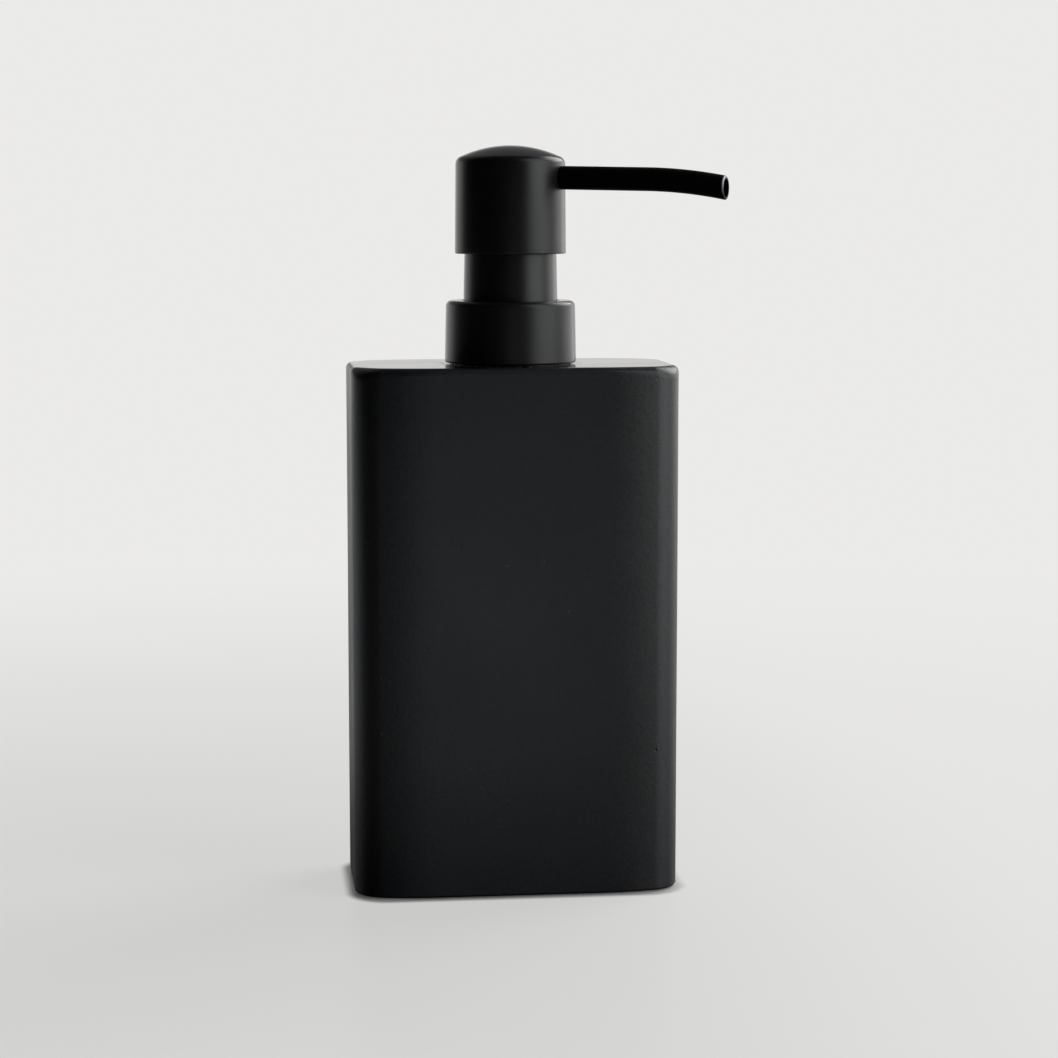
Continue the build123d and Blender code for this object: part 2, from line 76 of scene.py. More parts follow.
camera_data = bpy.data.cameras.new("camera")
camera_data.lens = camera_lens
camera_data.sensor_width = camera_sensor
camera = bpy.data.objects.new("camera", camera_data)
camera.location = (
    math.sin(camera_azimuth) * camera_distance + camera_aside,
    -math.cos(camera_azimuth) * camera_distance,
    camera_height,
)
camera.rotation_euler = (math.pi / 2 - camera_tilt, 0, camera_azimuth)
bpy.context.scene.collection.objects.link(camera)
bpy.context.scene.camera = camera
bpy.context.scene.view_settings.view_transform = "Standard"
print("camera at", [round(x, 4) for x in camera.location])

# %% [markdown]
# ## From a grid of points to a mesh
# Every new piece is a surface: a grid of points with rows one way and columns the other. Blender could
# build such shapes with spin and bevel tools, but a formula on whole arrays says exactly where the surface
# lies, so the picture takes its sizes from the CAD model and differs only in a few softened edges and
# shallow waves. One helper turns any such grid into a mesh object.

# %% Mesh from a grid
def surface(name, points, rows_close=False, columns_close=True, fans=(), solid=True):
    """A smooth mesh object from points[row, column], in millimetres.

    Quad (i, j) joins points (i, j), (i, j + 1), (i + 1, j + 1) and (i + 1, j), and a direction that closes
    wraps round. A fan in fans, "first" or "last", closes that row with triangles to the row's mean point. A
    solid's faces are turned outwards: its volume, a sixth of the sum of a . (b x c) over its triangles, has
    to be positive.
    """
    rows, columns = points.shape[:2]
    index = np.arange(rows * columns).reshape(rows, columns)
    here = index if rows_close else index[:-1]
    above = np.roll(index, -1, axis=0) if rows_close else index[1:]
    quads = np.stack([here, np.roll(here, -1, axis=1), np.roll(above, -1, axis=1), above], axis=-1)
    quads = (quads if columns_close else quads[:, :-1]).reshape(-1, 4)
    corners = points.reshape(-1, 3)
    triangles = np.empty((0, 3), int)
    if "first" in fans:
        pole = np.full(columns, len(corners))
        corners = np.vstack([corners, points[0].mean(axis=0)])
        triangles = np.vstack([triangles, np.stack([np.roll(index[0], -1), index[0], pole], axis=1)])
    if "last" in fans:
        pole = np.full(columns, len(corners))
        corners = np.vstack([corners, points[-1].mean(axis=0)])
        triangles = np.vstack([triangles, np.stack([index[-1], np.roll(index[-1], -1), pole], axis=1)])
    if solid:
        halves = np.vstack([quads[:, [0, 1, 2]], quads[:, [0, 2, 3]], triangles])
        a, b, c = (corners[halves[:, k]] for k in range(3))
        if (a * np.cross(b, c)).sum() < 0:
            quads = quads[:, ::-1]
            triangles = triangles[:, ::-1]
    mesh = bpy.data.meshes.new(name)
    mesh.from_pydata((corners * mm).tolist(), [], quads.tolist() + triangles.tolist())
    mesh.polygons.foreach_set("use_smooth", np.ones(len(mesh.polygons), bool))
    mesh.update()
    piece = bpy.data.objects.new(name, mesh)
    bpy.context.scene.collection.objects.link(piece)
    print(name, "has", len(mesh.polygons), "faces")
    return piece


# %% [markdown]
# ## Floor, light and a black card
# The bottle is black, so what shows on it is mostly what it mirrors. The room is pale low down and dim
# above, and soft windows stand at the right, at the back right and high at the back right. The front and
# the left are dark. A photographer gets that with a black card just outside the picture: it keeps light off
# the front, and the camera doesn't see it. The floor is a wide pale disc about as bright as the room behind
# it, so no hard horizon cuts the picture.

# %% Floor
def ring_grid(radii, segments, height):
    """Points of a flat disc: (r cos a, r sin a, height) for each radius r and angle a."""
    angle = np.linspace(0, 2 * np.pi, segments, endpoint=False)
    across = np.outer(radii, np.cos(angle))
    return np.stack([across, np.outer(radii, np.sin(angle)), np.full_like(across, height)], axis=-1)


floor_reach = 9000.0
floor_rings = np.geomspace(20.0, floor_reach, 24)
floor = surface("floor", ring_grid(floor_rings, 96, 0.0)[::-1], fans=("last",), solid=False)

# %% World and lamps
horizon_shade = (0.83, 0.825, 0.81, 1.0)
ceiling_shade = (0.20, 0.20, 0.20, 1.0)
zenith_shade = (0.03, 0.03, 0.03, 1.0)
world = bpy.data.worlds.new("pale_room")
world.use_nodes = True
world_nodes = world.node_tree.nodes
world_links = world.node_tree.links
way = world_nodes.new("ShaderNodeSeparateXYZ")
world_links.new(world_nodes.new("ShaderNodeTexCoord").outputs["Generated"], way.inputs[0])
sky = world_nodes.new("ShaderNodeValToRGB")
sky.color_ramp.interpolation = "EASE"
stops = sky.color_ramp.elements
stops.remove(stops[1])
stops[0].position = 0.08
stops[0].color = horizon_shade
for sine_of_elevation, shade in ((0.40, ceiling_shade), (0.78, ceiling_shade), (0.92, zenith_shade)):
    stops.new(sine_of_elevation).color = shade
world_links.new(way.outputs["Z"], sky.inputs["Fac"])
world_links.new(sky.outputs["Color"], world_nodes["Background"].inputs["Color"])
bpy.context.scene.world = world
light_target = Vector((0.0, 0.0, 0.09))


def window_light(name, azimuth, elevation, distance, width, height, radiance, shade):
    """A soft rectangular lamp that faces the bottle from this azimuth (0 front, 90 right) and elevation.

    A lamp of this area looks as bright as a surface of the radiance when its power is pi * area * radiance.
    """
    turn = math.radians(azimuth)
    rise = math.radians(elevation)
    way = Vector((math.sin(turn) * math.cos(rise), -math.cos(turn) * math.cos(rise), math.sin(rise)))
    lamp = bpy.data.lights.new(name, "AREA")
    lamp.shape = "RECTANGLE"
    lamp.size = width
    lamp.size_y = height
    lamp.energy = math.pi * width * height * radiance
    lamp.color = shade
    holder = bpy.data.objects.new(name, lamp)
    holder.location = light_target + way * distance
    holder.rotation_euler = (-way).to_track_quat("-Z", "Y").to_euler()
    bpy.context.scene.collection.objects.link(holder)
    print(name, "at", [round(x, 2) for x in holder.location])
    return holder


window_light("window_right", 59, 26, 1.3, 1.0, 1.45, 1.3, (0.94, 0.98, 1.02))
window_light("window_back", 122, 14, 1.5, 1.2, 0.9, 0.9, (1.0, 1.0, 1.0))
window_light("window_high", 125, 33, 1.5, 1.0, 0.8, 3.5, (1.0, 1.0, 1.0))

# %% Black card
card_radius = 320.0
card_height = 760.0
card_from = math.radians(-122)
card_to = math.radians(30)


def standing_card(radius, height, start, stop, columns):
    """Points of an upright curved card: (r sin a, -r cos a, z), azimuth a from start to stop, z from 0 up."""
    turn = np.linspace(start, stop, columns)
    low = np.stack([radius * np.sin(turn), -radius * np.cos(turn), np.zeros(columns)], axis=-1)
    return np.stack([low, low + np.array([0.0, 0.0, height])])


card_points = standing_card(card_radius, card_height, card_from, card_to, 49)
black_card = surface("black_card", card_points, columns_close=False, solid=False)
black_card.visible_camera = False

# %% [markdown]
# ## Outlines with rounded corners
# Nothing that is moulded, cast or cut has a perfectly sharp edge: the thin bright or dark line along an
# edge is what makes it look real. A Bevel modifier could round the edges afterwards. Here the corners are
# rounded in the outline itself, before it is turned or swept, so each edge has the radius that the real
# piece has.

# %% Rounded outline
def rounded_outline(corners, radii, arc_steps=8, lead=0.12):
    """A closed outline through the corners, with corner k rounded by an arc of radii[k]; also its edge mask.

    With a and b the unit directions to the two neighbours and h half the angle between them, the arc's
    centre is the corner + (a + b) / |a + b| * radius / sin h. It touches the sides at radius / tan h from
    the corner, and its points turn evenly from one touching point to the other. A lead point on each side,
    just past the arc, keeps the flats flat under smooth shading. The mask is 1 on the arcs and 0 on the
    leads.
    """
    corners = np.asarray(corners, float)
    radii = np.asarray(radii, float)
    back = np.roll(corners, 1, axis=0) - corners
    ahead = np.roll(corners, -1, axis=0) - corners
    a = back / np.linalg.norm(back, axis=1, keepdims=True)
    b = ahead / np.linalg.norm(ahead, axis=1, keepdims=True)
    half = np.arccos(np.clip((a * b).sum(axis=1), -1, 1)) / 2
    middle = (a + b) / np.linalg.norm(a + b, axis=1, keepdims=True)
    centre = corners + middle * (radii / np.sin(half))[:, None]
    touch = (radii / np.tan(half))[:, None]
    start = (corners + a * touch - centre)[:, None]
    stop = (corners + b * touch - centre)[:, None]
    turn = (np.pi - 2 * half)[:, None, None]
    t = np.linspace(0, 1, arc_steps + 1)[None, :, None]
    arc = centre[:, None] + (np.sin((1 - t) * turn) * start + np.sin(t * turn) * stop) / np.sin(turn)
    lead_in = (corners + a * (touch + lead))[:, None]
    lead_out = (corners + b * (touch + lead))[:, None]
    outline = np.concatenate([lead_in, arc, lead_out], axis=1)
    mask = np.ones(outline.shape[:2])
    mask[:, [0, -1]] = 0.0
    return outline.reshape(-1, 2), mask.reshape(-1)


def with_steps_under(outline, mask, longest):
    """The same closed outline and mask, with even points added so that no step is longer than this."""
    step = np.roll(outline, -1, axis=0) - outline
    count = np.maximum(1, np.ceil(np.linalg.norm(step, axis=1) / longest)).astype(int)
    which = np.repeat(np.arange(len(outline)), count)
    share = (np.arange(count.sum()) - np.repeat(np.cumsum(count) - count, count)) / count[which]
    later = np.roll(mask, -1)
    return outline[which] + step[which] * share[:, None], mask[which] + (later - mask)[which] * share


def mark_edges(piece, mask, columns):
    """Stores an edge mask on the mesh for the finishes to read: one value a row, or one a row and column."""
    per_point = np.zeros(len(piece.data.vertices), np.float32)
    spread = np.broadcast_to(mask.reshape(len(mask), -1), (len(mask), columns)).reshape(-1)
    per_point[: len(spread)] = spread
    piece.data.attributes.new("edge", "FLOAT", "POINT").data.foreach_set("value", per_point)


# %% [markdown]
# ## Bottle
# The bottle is a hollow resin casting: a rounded oblong block with a soft top edge, a hole in its roof for
# the pump's neck, and an open foot that a plate closes. Its front and back are flat in the middle and ease
# along a large arc into the corners. A box with two bevels would come close outside, but it would be solid.
# Here one closed skin runs from the foot up the outside, over the roof, down through the hole and round the
# cavity. Every row is the same trick: a smaller core outline with a disc carried round it, so that
# insetting the row only shrinks the disc. Near the hole the row turns smoothly into a circle.

# %% Bottle sizes
bottle_low, bottle_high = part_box("bottle_shell")
bottle_width = (bottle_high.x - bottle_low.x) / mm
bottle_depth = (bottle_high.y - bottle_low.y) / mm
bottle_foot = bottle_low.z / mm
bottle_top = bottle_high.z / mm
plate_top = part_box("base_plate")[1].z / mm
face_ease = 20.0
face_turn_radius = 64.0
corner_radius = 8.2
top_edge_radius = 1.5
foot_edge_radius = 0.6
bottle_wall = 4.5
bottle_roof = 5.0
foot_wall = 3.0
cavity_edge_radius = 2.0
neck_hole_radius = 13.5
small_edge = 0.2
print("bottle", round(bottle_width, 2), "x", round(bottle_depth, 2), "x", round(bottle_top, 2), "mm")

# %% Bottle rows: how far in and how high
roof_turn_start = bottle_wall + cavity_edge_radius
hole_inward = bottle_width / 2 - neck_hole_radius
bottle_corners = [
    (foot_wall, bottle_foot),
    (0.0, bottle_foot),
    (0.0, bottle_top),
    (hole_inward, bottle_top),
    (hole_inward, bottle_top - bottle_roof),
    (bottle_wall, bottle_top - bottle_roof),
    (bottle_wall, plate_top),
    (foot_wall, plate_top),
]
bottle_radii = [
    small_edge, foot_edge_radius, top_edge_radius, small_edge,
    small_edge, cavity_edge_radius, small_edge, small_edge,
]
pit_height = 35.6
pit_reach = 0.45
pit_depth = 0.34
pit_spread = 0.45
pit_lines = np.linspace(-1.6, 1.6, 23) * pit_reach
bottle_rows, bottle_mask = rounded_outline(bottle_corners, bottle_radii, arc_steps=12)
bottle_rows, bottle_mask = with_steps_under(bottle_rows, bottle_mask, 3.0)
pit_rows = pit_height + pit_lines
outside = (bottle_rows[:, 0] == 0) & (bottle_rows[:, 1] < pit_rows[0])
pit_place = np.flatnonzero(outside)[-1] + 1
bottle_rows = np.insert(bottle_rows, pit_place, np.stack([0 * pit_rows, pit_rows], axis=1), axis=0)
bottle_mask = np.insert(bottle_mask, pit_place, 0 * pit_rows)
print("bottle skin has", len(bottle_rows), "rows")

# %% Bottle columns: once round the core
core_front = bottle_depth / 2 - corner_radius
turn_core = face_turn_radius - corner_radius
face_turn = math.asin((face_ease - corner_radius) / turn_core)
pit_facing = math.radians(13.4)
corner_stage_length = 12.0
columns_a_stage = [14, 14, 22, 7]


def core_columns(stage):
    """Core points and ways out on a quarter of the plan, from mid front to the middle of the right side.

    stage runs over the flat (0 to 1), the easing arc (1 to 2), the corner (2 to 3) and the side (3 to 4).
    With f the angle from the front, the way out is (sin f, -cos f). On the arc the core turns with f, up to
    face_turn.
    """
    on_flat, on_arc, in_corner, on_side = (np.clip(stage - k, 0, 1) for k in range(4))
    f = face_turn * on_arc + (np.pi / 2 - face_turn) * in_corner
    x = on_flat * (bottle_width / 2 - face_ease) + turn_core * np.sin(np.minimum(f, face_turn))
    y = (core_front - turn_core * (1 - np.cos(np.minimum(f, face_turn)))) * (1 - on_side)
    return np.stack([x, -y], axis=-1), np.stack([np.sin(f), -np.cos(f)], axis=-1)


def all_round(quarter):
    """A quarter's (x, y) mirrored back and then left, so that it goes once round."""
    right = np.concatenate([quarter, (quarter * [1, -1])[::-1]])
    return np.concatenate([right, (right * [-1, 1])[::-1]])


pit_stage = 2 + (pit_facing - face_turn) / (np.pi / 2 - face_turn)
even_stage = np.concatenate([k + (np.arange(n) + 0.5) / n for k, n in enumerate(columns_a_stage)])
near_pit = pit_stage + pit_lines / corner_stage_length
column_core, column_way = (all_round(x) for x in core_columns(np.sort(np.append(even_stage, near_pit))))
pit_core, pit_way = core_columns(np.array(pit_stage))
pit_spot = pit_core + corner_radius * pit_way
print("bottle skin has", len(column_core), "columns")

# %% Bottle skin
wave_depth = 0.05
corner_softening = 1.5
softened_below = 12.0


def casting_waves(x, height):
    """How far in a hand-finished face lies, from 0 to 1: long shallow waves, as a sum of three sines."""
    waves = np.sin(x / 11.0 + height / 23.0) + np.sin(height / 13.0 - x / 19.0) + np.sin(x / 7.0 + 1.3)
    return (waves + 3.0) / 6.0


def softened(distance, radius, limit):
    """Distances from the top edge, spread so that its arc gets this radius; past limit they stay."""
    beyond = radius + (distance - top_edge_radius) * (limit - radius) / (limit - top_edge_radius)
    spread = np.where(distance < top_edge_radius, distance * radius / top_edge_radius, beyond)
    return np.where(distance < limit, spread, distance)


def bottle_points():
    """Row (t, z) and column (q, u): the point q + (corner radius - t) u, at height z.

    q runs round the core and u is the way out there. Past roof_turn_start the row blends straight into the
    hole's circle. The outside lies in by the casting's waves and by one small pit, a Gaussian dent. Sanding
    has made the top edge softer at the corners, where its radius grows by corner_softening * 2 |u_x u_y|.
    """
    inward = bottle_rows[:, 0][:, None] + np.zeros(len(column_core))
    height = bottle_rows[:, 1][:, None] + np.zeros(len(column_core))
    edge = top_edge_radius + corner_softening * 2 * np.abs(column_way[:, 0] * column_way[:, 1])
    below = bottle_top - height
    on_flat_top = below < 1e-6
    on_edge = (below < softened_below) & ((inward <= top_edge_radius) | on_flat_top)
    height = np.where(on_edge, bottle_top - softened(below, edge, softened_below), height)
    inward = np.where(on_edge, softened(inward, edge, roof_turn_start), inward)
    outer = column_core + corner_radius * column_way
    on_wall = np.clip(1 - bottle_rows[:, 0] / foot_edge_radius, 0, 1)
    on_wall = on_wall * np.clip((bottle_top - bottle_rows[:, 1]) / (4 * top_edge_radius), 0, 1)
    from_pit = ((outer - pit_spot) ** 2).sum(axis=1) + (height - pit_height) ** 2
    dent = np.exp(-from_pit / (pit_spread * pit_reach) ** 2)
    lower = wave_depth * casting_waves(outer[:, 0] + 0.8 * outer[:, 1], height) + pit_depth * dent
    inset = np.minimum(inward, roof_turn_start) + on_wall[:, None] * lower
    flat = column_core + (corner_radius - inset)[..., None] * column_way
    share = np.clip((inward - roof_turn_start) / (hole_inward - roof_turn_start), 0, 1)[..., None]
    spread = np.arctan2(flat[..., 1] / bottle_depth, flat[..., 0] / bottle_width)
    circle = neck_hole_radius * np.stack([np.cos(spread), np.sin(spread)], axis=-1)
    return np.concatenate([flat * (1 - share) + circle * share, height[..., None]], axis=-1)


bottle = surface("bottle_casting", bottle_points(), rows_close=True)
mark_edges(bottle, bottle_mask, len(column_core))

# %% [markdown]
# ## Collar and sleeve
# The collar is a drafted cup that hides the threaded ring, and the sleeve is the narrower tube that stands
# in it. Both were moulded and are perfectly round, so each is one outline turned about the pump's axis.
# Their rims and inner corners are rounded by a few tenths of a millimetre, and the collar's top edge by
# more.

# %% Turned pieces
turned_segments = 192


def turned(outline):
    """An outline of (radius, height) carried round the pump's axis: (r cos a, r sin a, z)."""
    angle = np.linspace(0, 2 * np.pi, turned_segments, endpoint=False)
    radius, height = outline[:, :1], outline[:, 1:]
    return np.stack([radius * np.cos(angle), radius * np.sin(angle), height + 0 * angle], axis=-1)


def turned_ring(name, corners, radii):
    """A ring with a closed outline of rounded corners, turned about the pump's axis, its edges marked."""
    outline, mask = with_steps_under(*rounded_outline(corners, radii, lead=0.05), 2.0)
    piece = surface(name, turned(outline), rows_close=True)
    mark_edges(piece, mask, turned_segments)
    return piece


# %% Collar
collar_low, collar_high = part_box("collar_shell")
collar_foot = collar_low.z / mm
collar_top = collar_high.z / mm
collar_foot_radius = collar_high.x / mm
pump_draft = math.tan(math.radians(1.2))
collar_top_radius = collar_foot_radius - (collar_top - collar_foot) * pump_draft
collar_bore = 15.05
collar_plate = 1.0
collar_hole = 12.0
collar_edge_radius = 1.4
collar_foot_edge = 0.5
fine_edge = 0.1
rim_edge = 0.3
collar_corners = [
    (collar_bore, collar_foot),
    (collar_foot_radius, collar_foot),
    (collar_top_radius, collar_top),
    (collar_hole, collar_top),
    (collar_hole, collar_top - collar_plate),
    (collar_bore, collar_top - collar_plate),
]
collar_radii = [fine_edge, collar_foot_edge, collar_edge_radius, rim_edge, small_edge, small_edge]
collar = turned_ring("collar_cup", collar_corners, collar_radii)

# %% Sleeve
sleeve_low, sleeve_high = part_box("neck_sleeve")
sleeve_foot = sleeve_low.z / mm
sleeve_top = sleeve_high.z / mm
sleeve_foot_radius = sleeve_high.x / mm
sleeve_top_radius = sleeve_foot_radius - (sleeve_top - sleeve_foot) * pump_draft
sleeve_wall = 1.1
sleeve_lid = 1.2
sleeve_lid_hole = 5.43
sleeve_corners = [
    (sleeve_foot_radius - sleeve_wall, sleeve_foot),
    (sleeve_foot_radius, sleeve_foot),
    (sleeve_top_radius, sleeve_top),
    (sleeve_lid_hole, sleeve_top),
    (sleeve_lid_hole, sleeve_top - sleeve_lid),
    (sleeve_top_radius - sleeve_wall, sleeve_top - sleeve_lid),
]
sleeve_radii = [small_edge, small_edge, rim_edge, small_edge, small_edge, small_edge]
sleeve = turned_ring("fixed_sleeve", sleeve_corners, sleeve_radii)

# %% [markdown]
# ## Head
# The head is a deep cap with a shallow dome. The dome is part of a sphere, and a small arc rounds its
# meeting with the side, which shows as a dark line with a highlight under it. The outline is built from its
# arcs, from the top of the dome out and down the side, round the rim and up the inside, and both ends close
# on the axis.

# %% Head outline
head_low, head_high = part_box("head_shell")
head_rim = head_low.z / mm
head_top = head_high.z / mm
head_rim_radius = head_high.x / mm
head_draft = math.radians(0.5)
head_bore = 12.4
head_wall = 1.25
dome_radius = 29.0
shoulder_radius = 2.0
dome_centre = head_top - dome_radius
pole_radius = 0.25


def arc_points(centre, radius, start, stop, steps):
    """Points of an arc in (radius, height), with angles measured from outwards up, both ends included."""
    angle = np.linspace(start, stop, steps + 1)
    return np.stack([centre[0] + radius * np.cos(angle), centre[1] + radius * np.sin(angle)], axis=-1)


def head_outline():
    """The head's outline from the dome's pole out, down and in again, with its edge mask.

    The shoulder's arc touches dome and side: its centre is dome_radius - shoulder_radius from the dome's
    centre and shoulder_radius inside the side's line, which leans in by head_draft.
    """
    out = np.array([math.cos(head_draft), math.sin(head_draft)])
    up = np.array([-math.sin(head_draft), math.cos(head_draft)])
    base = np.array([head_rim_radius, head_rim]) - shoulder_radius * out - np.array([0.0, dome_centre])
    along = -base @ up + math.sqrt((base @ up) ** 2 - base @ base + (dome_radius - shoulder_radius) ** 2)
    centre = base + along * up + np.array([0.0, dome_centre])
    meet = math.atan2(centre[1] - dome_centre, centre[0])
    pole = math.acos(pole_radius / dome_radius)
    dome = arc_points((0.0, dome_centre), dome_radius, pole, meet, 26)
    shoulder = arc_points(centre, shoulder_radius, meet, head_draft, 14)[1:]
    foot_corner = np.array([head_rim_radius, head_rim])
    rim_centre = foot_corner + (up - out) * rim_edge
    side = np.linspace(shoulder[-1], rim_centre + rim_edge * out, 14)[1:-1]
    rim = arc_points(rim_centre, rim_edge, head_draft, -math.pi / 2, 8)
    lip = arc_points((head_bore + small_edge, head_rim + small_edge), small_edge, -math.pi / 2, -math.pi, 6)
    inner_meet = math.acos(head_bore / (dome_radius - head_wall))
    inner_pole = math.acos(pole_radius / (dome_radius - head_wall))
    inner = arc_points((0.0, dome_centre), dome_radius - head_wall, inner_meet, inner_pole, 12)
    wall = np.linspace(lip[-1], inner[0], 8)[1:-1]
    parts = [dome, shoulder, side, rim, lip, wall, inner]
    marks = [0, 1, 0, 1, 0, 0, 0]
    mask = np.concatenate([np.full(len(part), mark, float) for part, mark in zip(parts, marks)])
    return np.concatenate(parts), mask


head_rows, head_mask = head_outline()
head = surface("head_cap", turned(head_rows), fans=("first", "last"))
mark_edges(head, head_mask, turned_segments)

# %% [markdown]
# ## Spout
# The spout is a thin tube, straight where it leaves the head and bent down along a large arc to its open
# tip. It could be a bevelled curve, but a curve's end is cut off sharp. Here a closed outline of the wall,
# with a rounded lip, is carried along the tube's middle line: the outline's first number says how far
# along, its second how far out. Close to the tip the rings lean back until they are upright, because the
# tube was cut off upright.

# %% Spout path
spout_radius = 2.85
spout_bore = 2.2
spout_root = 3.0
spout_straight = 35.0
spout_reach = 54.9
spout_bend_radius = 115.0
spout_slope = math.radians(1.1)
spout_yaw = math.radians(-27.0)
spout_below_top = 7.657
spout_height = head_top - spout_below_top
spout_turned = (spout_reach - spout_straight) / spout_bend_radius + math.sin(spout_slope)
spout_bend = math.asin(spout_turned) - spout_slope
straight_length = (spout_straight - spout_root) / math.cos(spout_slope)
spout_length = straight_length + spout_bend * spout_bend_radius
tip_droop = spout_slope + spout_bend
tip_blend = 8.0
lip_outside = 0.35
lip_inside = 0.1


def along_spout(travel):
    """Middle line of the spout at this travel: its place out from the axis, height and downward angle."""
    turned_down = np.clip((travel - straight_length) / spout_bend_radius, 0, None)
    straight = np.minimum(travel, straight_length)
    down = spout_slope + turned_down
    out = spout_root + straight * math.cos(spout_slope)
    out = out + spout_bend_radius * (np.sin(down) - math.sin(spout_slope))
    height = spout_height - spout_root * math.tan(spout_slope) - straight * math.sin(spout_slope)
    height = height - spout_bend_radius * (math.cos(spout_slope) - np.cos(down))
    return out, height, down


# %% Spout surface
def spout_points(outline, segments):
    """A closed outline of (travel, radius) carried along the spout and round it.

    At each travel the ring lies square to the middle line: centre + radius (cos a * sideways + sin a *
    upwards). Over the last tip_blend its upper points draw back by rise * tan(tip_droop), which makes the
    end upright.
    """
    angle = np.linspace(0, 2 * np.pi, segments, endpoint=False)
    radius = outline[:, 1:]
    side = radius * np.cos(angle)
    rise = radius * np.sin(angle)
    upright = np.clip((outline[:, :1] - spout_length) / tip_blend + 1, 0, 1)
    out, height, down = along_spout(outline[:, :1] - upright * rise * math.tan(tip_droop))
    reach = out + rise * np.sin(down)
    x = reach * math.cos(spout_yaw) - side * math.sin(spout_yaw)
    y = reach * math.sin(spout_yaw) + side * math.cos(spout_yaw)
    return np.stack([x, y, height + rise * np.cos(down)], axis=-1)


spout_segments = 72
spout_corners = [
    (0.0, spout_bore), (0.0, spout_radius), (spout_length, spout_radius), (spout_length, spout_bore),
]
spout_radii = [fine_edge, fine_edge, lip_outside, lip_inside]
spout_rows, spout_mask = rounded_outline(spout_corners, spout_radii, lead=0.05)
spout_rows, spout_mask = with_steps_under(spout_rows, spout_mask, 1.2)
spout = surface("spout_pipe", spout_points(spout_rows, spout_segments), rows_close=True)
round_spout = np.linspace(0, 2 * np.pi, spout_segments, endpoint=False)
# Which side of the lip is bare metal: the upper side that faces front left.
bare_lip_side = (0.5 - 0.5 * np.cos(round_spout)) * np.clip(0.45 + 0.65 * np.sin(round_spout), 0, 1)
at_tip = spout_mask * (spout_rows[:, 0] > spout_straight)
mark_edges(spout, np.outer(at_tip, bare_lip_side), spout_segments)

# %% [markdown]
# ## Foot pad
# A die-cut sheet of soft foam under the bottle keeps it from scratching. Its edge bulges a little where the
# bottle's weight squeezes it. It is the bottle's own core again, with a soft outline carried round it.

# %% Foot pad
pad_low, pad_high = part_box("base_pad")
pad_inset = bottle_width / 2 - pad_high.x / mm
pad_thickness = (pad_high.z - pad_low.z) / mm
pad_bulge = 0.12
pad_rows = 17


def pad_points():
    """Rows of the pad's rounded rim: q + (corner radius - inset) u, the inset a half sine over its height."""
    t = np.linspace(0, 1, pad_rows)[:, None]
    inset = pad_inset + pad_bulge * (1 - np.sin(np.pi * t) ** 0.6)
    flat = column_core + (corner_radius - inset)[..., None] * column_way
    height = pad_low.z / mm + pad_thickness * (1 - np.cos(np.pi * t)) / 2 + np.zeros(len(column_core))
    return np.concatenate([flat, height[..., None]], axis=-1)


pad = surface("foot_pad", pad_points(), fans=("first", "last"))

# %% [markdown]
# ## Return spring
# A coil of steel wire under the piston lifts the head again after each press. The CAD coil is stiff, so the
# piston would go through it. Here the wire is a small circle carried along a helix.

# %% Return spring
spring_low, spring_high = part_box("return_spring")
wire_radius = 0.45
spring_turns = 6
spring_radius = spring_high.x / mm - wire_radius
spring_foot = spring_low.z / mm + wire_radius
spring_head = spring_high.z / mm - wire_radius
wire_segments = 16
steps_a_turn = 40


def coil_points():
    """A circle round each point p of a helix: p + wire_radius (cos b * outwards + sin b * across).

    With a the angle turned, p = (r cos a, r sin a, foot + rise * a), outwards = (cos a, sin a, 0) and
    across is square to that and to the wire: (-k sin a, k cos a, -1) / sqrt(1 + k k), turned to the wire by
    its slope k = rise / r.
    """
    a = np.linspace(0, 2 * np.pi * spring_turns, spring_turns * steps_a_turn + 1)[:, None]
    b = np.linspace(0, 2 * np.pi, wire_segments, endpoint=False)
    rise = (spring_head - spring_foot) / (2 * np.pi * spring_turns)
    slope = rise / spring_radius
    out = spring_radius + wire_radius * np.cos(b)
    across = wire_radius * np.sin(b) / math.sqrt(1 + slope**2)
    x = out * np.cos(a) - slope * across * np.sin(a)
    y = out * np.sin(a) + slope * across * np.cos(a)
    return np.stack([x, y, spring_foot + rise * a - across], axis=-1)


spring = surface("spring_coil", coil_points(), fans=("first", "last"))

# %% [markdown]
# ## Finishes: what they share
# All the black surfaces have the same small faults at different strengths: a grain, a few specks of dust,
# tiny pinholes, patches that are a little more or less glossy, and edges rubbed by hands. Each is a node
# group, built once and placed in each material with its own values, so a change shows everywhere.

# %% Node helpers
def feed(tree, socket, value):
    """Gives a socket its value: a link when the value is another socket, else a number, vector or colour."""
    if isinstance(value, bpy.types.NodeSocket):
        tree.links.new(value, socket)
    else:
        socket.default_value = value


def feed_all(tree, sockets, **inputs):
    """Gives several sockets their values, by name, with _ for a space."""
    for name, value in inputs.items():
        feed(tree, sockets[name.replace("_", " ")], value)


def add_node(tree, kind, settings=None, **inputs):
    """A new node with these settings as its properties and these inputs."""
    node = tree.nodes.new(kind)
    for name, value in (settings or {}).items():
        setattr(node, name, value)
    feed_all(tree, node.inputs, **inputs)
    return node


def sums(tree, operation, *values, clamp=False):
    """A Math node's output: the operation on these numbers or sockets."""
    node = add_node(tree, "ShaderNodeMath", {"operation": operation, "use_clamp": clamp})
    for socket, value in zip(node.inputs, values):
        feed(tree, socket, value)
    return node.outputs[0]


def ramp(tree, value, low, high, bottom=0.0, top=1.0):
    """A smooth step: bottom where value is below low, top where it is above high."""
    node = add_node(tree, "ShaderNodeMapRange", {"interpolation_type": "SMOOTHSTEP"})
    feed_all(tree, node.inputs, Value=value, From_Min=low, From_Max=high, To_Min=bottom, To_Max=top)
    return node.outputs[0]


